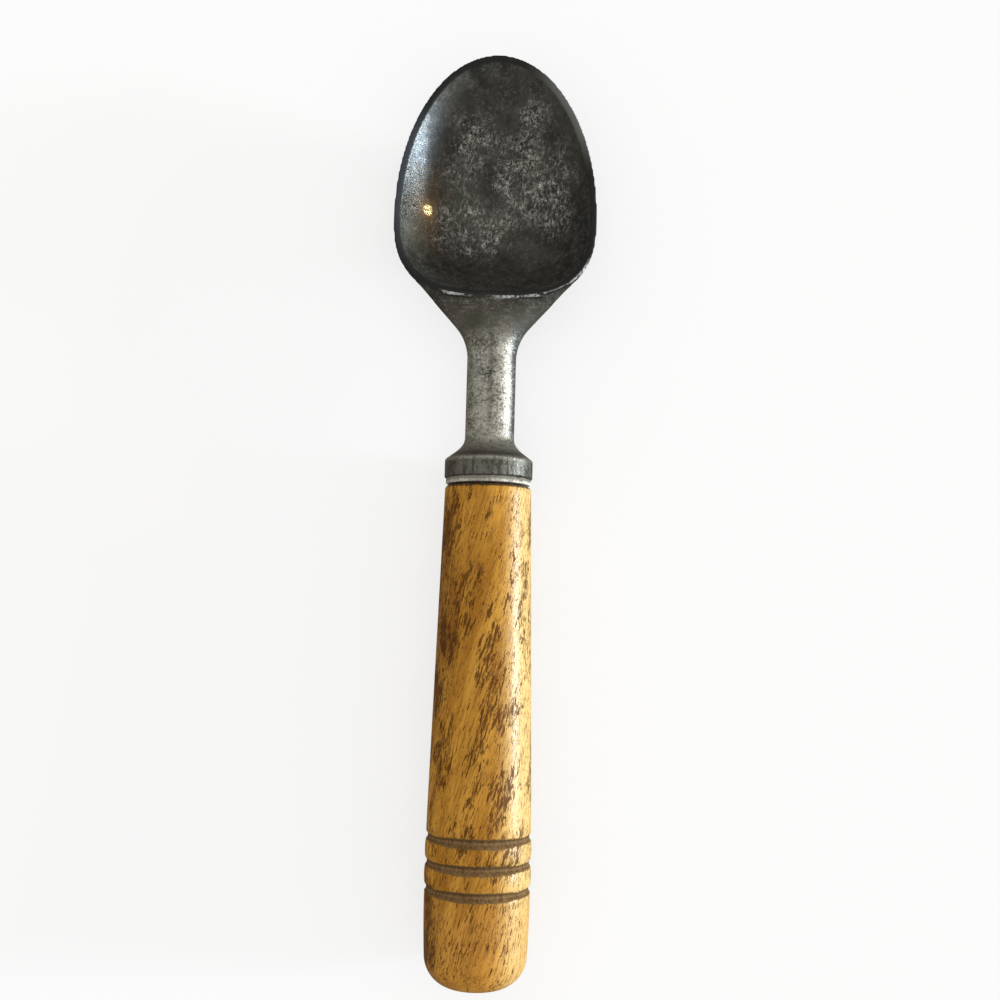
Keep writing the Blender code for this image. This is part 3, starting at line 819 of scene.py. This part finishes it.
lay_turned(washer, 40)

fibre = Finish("pale_fibre", Roughness=0.8)
crust = fibre.cloud(fibre.place, 900.0, 4.0, 0.7)
stain = fibre.cloud(fibre.place, 260.0, 3.0)
crusty = fibre.between(crust, 0.34, 0.54)
fibre.colour = fibre.mix(crusty, (0.22, 0.20, 0.15), (0.80, 0.75, 0.63))
fibre.paint(fibre.between(stain, 0.46, 0.64) * 0.5, (0.12, 0.11, 0.085))
y = fibre.axes()[1]
# The top of the edge, under the collar, is painted dark and mottled as painted shade.
shade_under_collar = fibre.between(y + (crust - 0.5) * (2.6 * MM), 5.95 * MM, 6.45 * MM)
under_collar_shade_colour = fibre.mix(fibre.between(stain, 0.40, 0.60), (0.035, 0.032, 0.024), (0.16, 0.15, 0.12))
fibre.paint(shade_under_collar * 0.85, under_collar_shade_colour)
fibre.feed("Base Color", fibre.colour)
fibre.bump(crust, 0.2 * MM)
fibre.give_to(washer)
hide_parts("seat_washer")
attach(washer, "root")


# Handle: one piece of pale hardwood turned on a lathe, with three cut grooves near a rounded
# butt, then varnished. The grooves were cut through the varnish and show raw brown fibres.
HANDLE_LENGTH = 110.1 * MM
HANDLE_DIAMETER = 23.4 * MM
HANDLE_TOP_DIAMETER = 19.5 * MM
TAPER_LENGTH = 78.0 * MM
TAPER_BLEND = 0.12
TOP_EDGE_ROUND = 0.7 * MM
BUTT_ROUND = 7.0 * MM
BUTT_TUCK = 0.35 * MM
GROOVE_FROM_BUTT = 21.4 * MM
GROOVE_PITCH = 5.6 * MM
GROOVE_WIDTH = 1.8 * MM
GROOVE_DEPTH = 0.40 * MM
LAND_CROWN = 0.12 * MM
TANG_IN_WOOD = 61.3 * MM
GROOVES = [-HANDLE_LENGTH + GROOVE_FROM_BUTT + GROOVE_PITCH * groove for groove in range(3)]

# How finely its outline is drawn: finest across the grooves.
FLAT_RINGS = 6
BUTT_RINGS = 20
TOP_EDGE_RINGS = 6
BUTT_STEP = 0.5 * MM
GROOVE_STEP = 0.15 * MM
TAPER_STEP = 1.2 * MM
GROOVE_MARGIN = 1.5 * MM
HANDLE_TURN_STEPS = 240

# The fibres that the cutter tore along the grooves' edges: their reach and depth, and how many
# lie round the handle.
TORN_REACH = 1.4 * MM
TORN_EDGE = 0.5 * MM
TORN_DEPTH = 0.26 * MM
SCORED_DEPTH = 0.05 * MM
FIBRES_ROUND, FIBRE_LENGTH = 42.0, 1.6 * MM
FINE_ROUND, FINE_LENGTH, FINE_SHIFT = 110.0, 0.8 * MM, 5.0


def plain_radius(along):
    """A straight taper that eases into a parallel grip and tucks in a little at the butt."""
    top = HANDLE_TOP_DIAMETER / 2
    grip = HANDLE_DIAMETER / 2
    share = -along / TAPER_LENGTH
    if share < 1.0 - TAPER_BLEND:
        radius = top + (grip - top) * share
    elif share < 1.0 + TAPER_BLEND:
        into = share - 1.0 + TAPER_BLEND
        radius = top + (grip - top) * (share - into * into / (4 * TAPER_BLEND))
    else:
        radius = grip
    corner = -HANDLE_LENGTH + BUTT_ROUND
    tuck_length = GROOVE_FROM_BUTT - BUTT_ROUND
    tuck = min(max((corner + tuck_length - along) / tuck_length, 0.0), 1.0)
    return radius - BUTT_TUCK * tuck * tuck


def grip_radius(along):
    """The plain radius, with the grooves cut and the bands between them crowned."""
    radius = plain_radius(along)
    half = GROOVE_WIDTH / 2
    circle = (half * half + GROOVE_DEPTH * GROOVE_DEPTH) / (2 * GROOVE_DEPTH)
    for groove in GROOVES:
        away = abs(along - groove)
        if away < half:
            return radius + circle - GROOVE_DEPTH - sqrt(circle * circle - away * away)
    land = GROOVE_PITCH - GROOVE_WIDTH
    for groove in GROOVES[:-1]:
        share = (along - groove - half) / land
        if 0 < share < 1:
            return radius + LAND_CROWN * 4 * share * (1 - share)
    return radius


butt = -HANDLE_LENGTH
corner = butt + BUTT_ROUND
flat = grip_radius(corner) - BUTT_ROUND
cut_start, cut_end = GROOVES[0] - GROOVE_MARGIN, GROOVES[-1] + GROOVE_MARGIN
edge_start = HANDLE_TOP_DIAMETER / 2 - TOP_EDGE_ROUND
profile = [(butt, flat * ring / FLAT_RINGS) for ring in range(FLAT_RINGS + 1)]
profile += [(corner - BUTT_ROUND * cos(a), flat + BUTT_ROUND * sin(a))
            for a in quarter_turn(BUTT_RINGS)]
for start, end, step in (
        (corner, cut_start, BUTT_STEP),
        (cut_start, cut_end, GROOVE_STEP),
        (cut_end, -TOP_EDGE_ROUND, TAPER_STEP)):
    profile += [(at, grip_radius(at)) for at in spaced(start, end, step)[1:]]
profile += [(-TOP_EDGE_ROUND + TOP_EDGE_ROUND * sin(a), edge_start + TOP_EDGE_ROUND * cos(a))
            for a in quarter_turn(TOP_EDGE_RINGS)]
profile += [(0.0, inner + FACE_RING), (0.0, inner), (-TANG_IN_WOOD, inner)]
profile += [(-TANG_IN_WOOD - inner / 2, 0.0)]
grip = turned("turned_handle", profile, HANDLE_TURN_STEPS)
for vertex in grip.data.vertices:
    nearest = min(abs(vertex.co.y - groove) for groove in GROOVES)
    if off_axis(vertex) >= flat and nearest < TORN_REACH:
        turn = atan2(vertex.co.z, vertex.co.x)
        coarse = Vector((turn * FIBRES_ROUND, vertex.co.y / FIBRE_LENGTH, 0.0))
        fine = Vector((turn * FINE_ROUND, vertex.co.y / FINE_LENGTH, FINE_SHIFT))
        scored = noise.noise(fine)
        torn = max(0.0, noise.noise(coarse) + 0.6 * scored)
        edge = max(0.0, 1.0 - abs(nearest - GROOVE_WIDTH / 2) / TORN_EDGE)
        pull_in(vertex, TORN_DEPTH * torn * edge + SCORED_DEPTH * abs(scored))
lay_turned(grip, 50)

wood = Finish("varnished_wood", Specular_IOR_Level=0.1, Coat_Roughness=0.34)
x, y = wood.axes()[:2]
lean = wood.moved(turn=(0.0, 0.0, radians(16)))
bands = wood.cloud(wood.stretched(lean, 0.10), 260.0, 3.0, 0.5)
fine = wood.cloud(wood.stretched(lean, 0.05), 2600.0, 3.0, 0.6)
clumps = wood.cloud(wood.stretched(lean, 0.40), 210.0, 3.0, 0.6)
long_pores = wood.cloud(wood.stretched(lean, 0.13), 2000.0, 3.0, 0.6)
short_pores = wood.cloud(wood.stretched(lean, 0.20), 3000.0, 2.0, 0.6)
speckle = wood.cloud(wood.stretched(wood.place, 0.6), 2800.0, 2.0, 0.7)
banded = wood.between(bands, 0.3, 0.7)
wood.colour = wood.mix(banded, (0.61, 0.305, 0.040), (0.34, 0.138, 0.008))
# The right side is painted lighter and yellower, as painted light from the window.
wood.paint(wood.between(x, 2.5 * MM, 9.5 * MM) * 0.7, (0.85, 0.63, 0.26))
calm = wood.between(y, -88.0 * MM, -84.0 * MM) * 0.6 + 0.4
wood.paint((1.0 - calm) * 0.5, (0.60, 0.275, 0.055))
wood.paint(wood.between(fine, 0.46, 0.66) * 0.7, (0.23, 0.082, 0.006))
wood.paint(wood.between(speckle, 0.52, 0.70) * 0.3, (0.62, 0.36, 0.07))

# The left side has a long dark streak of crowded pores, and the butt a shorter one; both also
# serve as painted shade that darkens the handle's left side.
stained_and_shaded = wood.spot((-9.5, -24.0, 17.0), (5.5, 34.0, 9.0))
stained_and_shaded = (stained_and_shaded + wood.spot((-9.5, -93.0, 16.0), (6.5, 15.0, 9.0))).at_most(1.0)
crowd = wood.between(clumps, 0.44, 0.62) * 0.14 * calm + stained_and_shaded * 0.08
long_fleck = wood.between(long_pores + crowd, 0.63, 0.68)
short_fleck = wood.between(short_pores + crowd, 0.64, 0.69)
fleck = long_fleck.at_least(short_fleck * 0.8)
smear = (stained_and_shaded * 0.7 + 0.12) * wood.between(clumps, 0.42, 0.66)
wood.paint(stained_and_shaded * 0.4, (0.19, 0.082, 0.017))
wood.paint(smear, (0.14, 0.055, 0.010))
wood.paint(fleck * 0.9, (0.085, 0.027, 0.002))

# A dark line just below the top edge is painted shade in the seam under the washer, and the butt
# has one short crack.
seam_shade = wood.between(y + (speckle - 0.5) * (1.2 * MM), 4.5 * MM, 4.8 * MM)
wood.paint(seam_shade * 0.9, (0.022, 0.014, 0.007))
crack = wood.spot((-1.3, -103.2, 16.0), (0.35, 3.0, 9.0))
wood.paint(crack, (0.05, 0.02, 0.005))

# Raw wood shows in and round the grooves, with a pale thin line and torn fibres; the dark line
# along each groove's upper edge is painted shade.
MIDDLE_GROOVE = GROOVES[1] + REST_PLACE[1]
reach = (y - MIDDLE_GROOVE).maths("ABSOLUTE")
offset = (y - MIDDLE_GROOVE).maths("WRAP", GROOVE_PITCH / 2, -GROOVE_PITCH / 2)
grooved = 1.0 - wood.between(reach, 1.38 * GROOVE_PITCH, 1.42 * GROOVE_PITCH)
ragged = wood.cloud(wood.stretched(wood.place, 0.25), 1700.0, 3.0, 0.6)
middle = 1.0 - wood.between(x.maths("ABSOLUTE"), 3.0 * MM, 11.0 * MM)
half_band = middle * (0.35 * MM) + 0.62 * MM
torn = (offset + 0.15 * MM).maths("ABSOLUTE") + (ragged - 0.5) * (1.3 * MM) - half_band
inside = (1.0 - wood.between(torn, 0.0, 0.28 * MM)) * grooved
raw_wood_and_groove_shade = wood.mix(wood.between(ragged, 0.3, 0.7), (0.21, 0.125, 0.052), (0.105, 0.055, 0.018))
pale = (1.0 - wood.between((offset + 0.1 * MM).maths("ABSOLUTE"), 0.04 * MM, 0.16 * MM)) * 0.5
raw_wood_and_groove_shade = wood.mix(pale * 0.6, raw_wood_and_groove_shade, (0.30, 0.20, 0.10))
# Painted shade along each groove's upper edge.
edge = 1.0 - wood.between((offset - 0.55 * MM).maths("ABSOLUTE"), 0.10 * MM, 0.38 * MM)
raw_wood_and_groove_shade = wood.mix(edge * 0.6, raw_wood_and_groove_shade, (0.050, 0.028, 0.011))
wood.paint(inside, raw_wood_and_groove_shade)
wood.feed("Base Color", wood.colour)

# The varnish is worn in specks, more so on the left, and is gone from the pores and grooves.
wood.feed("Roughness", inside * 0.4 + fleck * 0.1 + speckle * 0.2 + 0.32)
right = wood.between(x, -1.0 * MM, 4.0 * MM) * 0.75 + 0.25
gloss = (wood.between(speckle, 0.40, 0.60) * 0.42 + 0.05) * right
wood.feed("Coat Weight", (1.0 - inside) * (1.0 - fleck) * gloss)
wood.bump(fine * 0.25 + speckle * 0.25 - fleck * 0.5 + inside * ragged * 0.9, 0.07 * MM)
wood.give_to(grip)
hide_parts("handle")
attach(grip, "root")


# Floor and light: a plain white table in an even, pale room, with one window low down on the
# right and a small warm lamp a little above it.
FLOOR_SIZE = 6.0
GLOW_SHARE = 0.7
HORIZON = 0.50
OVERHEAD = 1.00

bpy.ops.object.select_all(action="DESELECT")
bpy.ops.mesh.primitive_plane_add(size=FLOOR_SIZE, location=(0.0, 0.0, 0.0))
floor = bpy.context.object
floor.name = "floor"
white = Finish("floor_white", Roughness=0.9, Specular_IOR_Level=0.2)
speck = white.cloud(white.place, 40.0, 2.0)
seen = white.add("ShaderNodeLightPath", {}, {}, "Is Camera Ray")
seen_colour = white.mix(speck, (0.93, 0.93, 0.93), (0.95, 0.95, 0.95))
white.feed("Base Color", white.mix(seen, (0.34, 0.31, 0.27), seen_colour))

# The table is seen as near white, with only the lighter part of the scoop's shadow left.
glow = white.add("ShaderNodeEmission", {}, {"Strength": 1.0})
blend = white.add("ShaderNodeMixShader", {}, {
    "Fac": seen * GLOW_SHARE, 1: Wire(white, white.shader.outputs[0]), 2: glow})
output = white.tree.nodes["Material Output"]
white.tree.links.new(blend.socket, output.inputs["Surface"])
white.give_to(floor)


def sun(name, azimuth, elevation, spread, strength, colour):
    """A soft lamp: azimuth from +X towards +Y, elevation above the floor, in degrees."""
    bpy.ops.object.select_all(action="DESELECT")
    bpy.ops.object.light_add(type="SUN")
    lamp = bpy.context.object
    lamp.name = name
    turn, rise = radians(azimuth), radians(elevation)
    towards = Vector((cos(rise) * cos(turn), cos(rise) * sin(turn), sin(rise)))
    lamp.rotation_euler = towards.to_track_quat("Z", "Y").to_euler()
    lamp.data.angle = radians(spread)
    lamp.data.energy = strength
    lamp.data.color = colour


sun("window", 1.0, 5.8, 9.0, 4.2, (0.78, 0.89, 1.0))
sun("lamp", 14.5, 12.0, 1.0, 0.35, (1.0, 0.76, 0.42))

# The room is paler overhead than near the horizon.
world = bpy.data.worlds.new("room")
world.use_nodes = True
nodes, links = world.node_tree.nodes, world.node_tree.links
direction = nodes.new("ShaderNodeTexCoord")
split = nodes.new("ShaderNodeSeparateXYZ")
fade = nodes.new("ShaderNodeMapRange")
fade.inputs["To Min"].default_value = HORIZON
fade.inputs["To Max"].default_value = OVERHEAD
links.new(direction.outputs["Generated"], split.inputs["Vector"])
links.new(split.outputs["Z"], fade.inputs["Value"])
links.new(fade.outputs["Result"], nodes["Background"].inputs["Strength"])
nodes["Background"].inputs["Color"].default_value = (1.0, 0.985, 0.965, 1.0)
bpy.context.scene.world = world
bpy.context.scene.view_settings.view_transform = "Standard"
